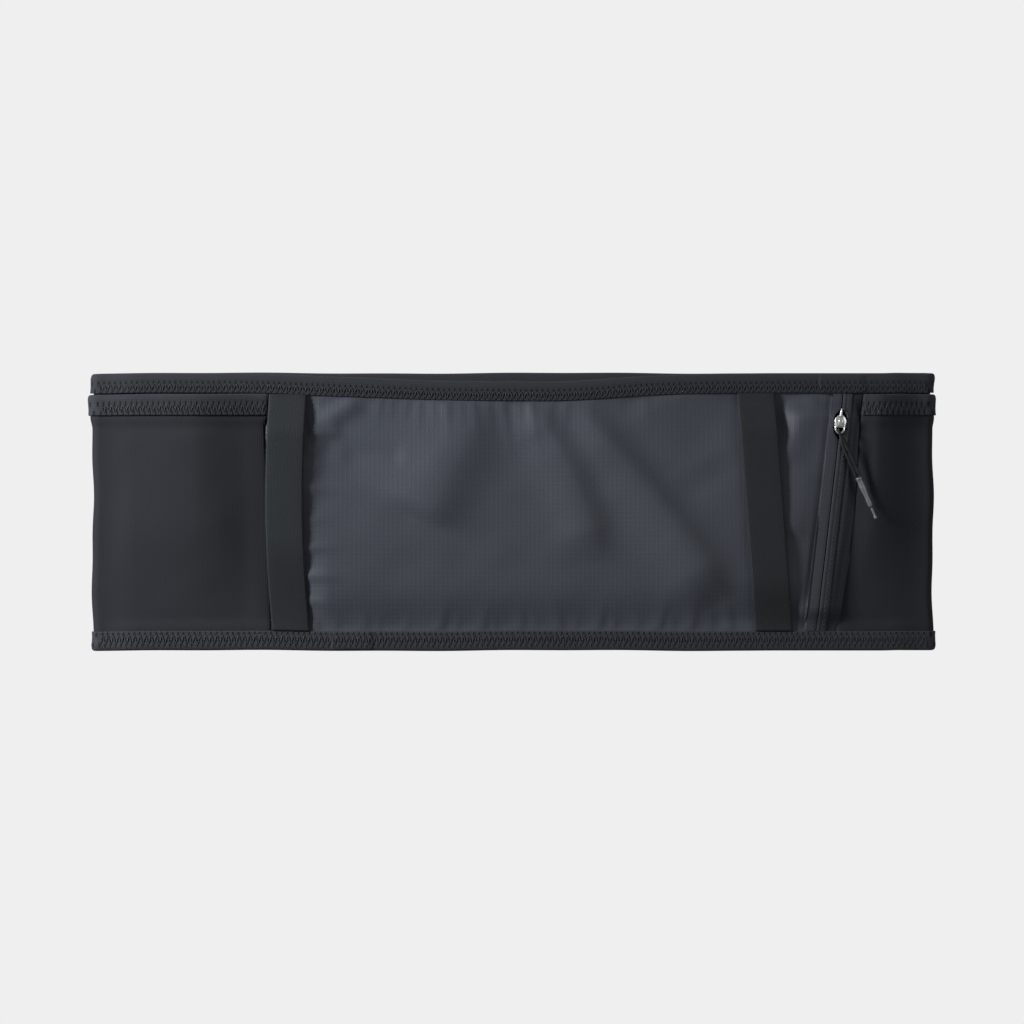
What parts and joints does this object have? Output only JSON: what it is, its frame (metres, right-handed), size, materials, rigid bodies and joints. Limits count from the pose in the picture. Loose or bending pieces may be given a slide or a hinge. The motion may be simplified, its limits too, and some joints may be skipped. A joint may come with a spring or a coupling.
{
  "type": "waist pack",
  "caption": "Stretch pull-on waist pack lying flat: knit tube with side pockets, a woven front pocket with a slanted zip, elastic bars and a cord puller.",
  "frame": {"origin": "under the middle of the flat belt, on the plane that it lies on", "axes": "+X along the waist, to the zip's end of the front; +Y to the top edge; +Z out of the front face"},
  "size_m": [0.3722, 0.1212, 0.0183],
  "materials": {
    "knit": "smooth stretch knit",
    "ripstop": "woven ripstop nylon, faint sheen",
    "facing": "woven nylon",
    "binding": "fold-over elastic",
    "elastic": "ribbed woven elastic",
    "zip_tape": "woven polyester tape",
    "zip_coil": "nylon coil",
    "zip_stop": "moulded",
    "slider_metal": "bright plated",
    "cord": "braided",
    "grip": "moulded, slightly glossy"
  },
  "bodies": {
    "belt": {"inner_tube": "knit", "wrap_left": "knit", "wrap_back": "knit", "wrap_right": "knit", "front_panel": "ripstop", "zip_facing": "facing", "top_binding": "binding", "bottom_binding": "binding", "mouth_binding_left": "binding", "mouth_binding_back": "binding", "mouth_binding_right": "binding", "bar_left": "elastic", "bar_right": "elastic", "top_stop_left": "zip_stop", "top_stop_right": "zip_stop", "bottom_stop": "zip_stop"},
    "left_edge": {"lip_left": "ripstop", "zip_tape_left": "zip_tape", "zip_coil_left": "zip_coil"},
    "right_edge": {"lip_right": "ripstop", "zip_tape_right": "zip_tape", "zip_coil_right": "zip_coil"},
    "slider": {"slider_body": "slider_metal", "slider_bridge": "slider_metal"},
    "ring": {"pull_ring": "slider_metal"},
    "puller": {"pull_cord": "cord", "pull_grip": "grip", "pull_tail": "cord"}
  },
  "joints": [
    {"name": "zip_slide", "type": "slide", "parent": "belt", "child": "slider", "axis": [-0.1145, -0.9934, 0], "range_m": [0, 0.078]},
    {"name": "zip_part_left", "type": "slide", "parent": "belt", "child": "left_edge", "axis": [-0.9934, 0.1145, 0], "range_m": [0, 0.005], "deforming": ["lip_left", "zip_tape_left", "zip_coil_left"]},
    {"name": "zip_part_right", "type": "slide", "parent": "belt", "child": "right_edge", "axis": [0.9934, -0.1145, 0], "range_m": [0, 0.005], "deforming": ["lip_right", "zip_tape_right", "zip_coil_right"]},
    {"name": "puller_lift", "type": "hinge", "parent": "slider", "child": "ring", "pos_m": [0.14322, 0.0392, 0.0155], "axis": [-0.9934, 0.1145, 0], "range_deg": [0, 110]},
    {"name": "puller_swing", "type": "hinge", "parent": "ring", "child": "puller", "pos_m": [0.14265, 0.03428, 0.0162], "axis": [0, 0, 1], "range_deg": [-50, 55], "deforming": ["pull_cord"]}
  ],
  "couplings": [
    {"joint": "zip_part_left", "follows": "zip_slide", "ratio": 0.064},
    {"joint": "zip_part_right", "follows": "zip_slide", "ratio": 0.064}
  ]
}
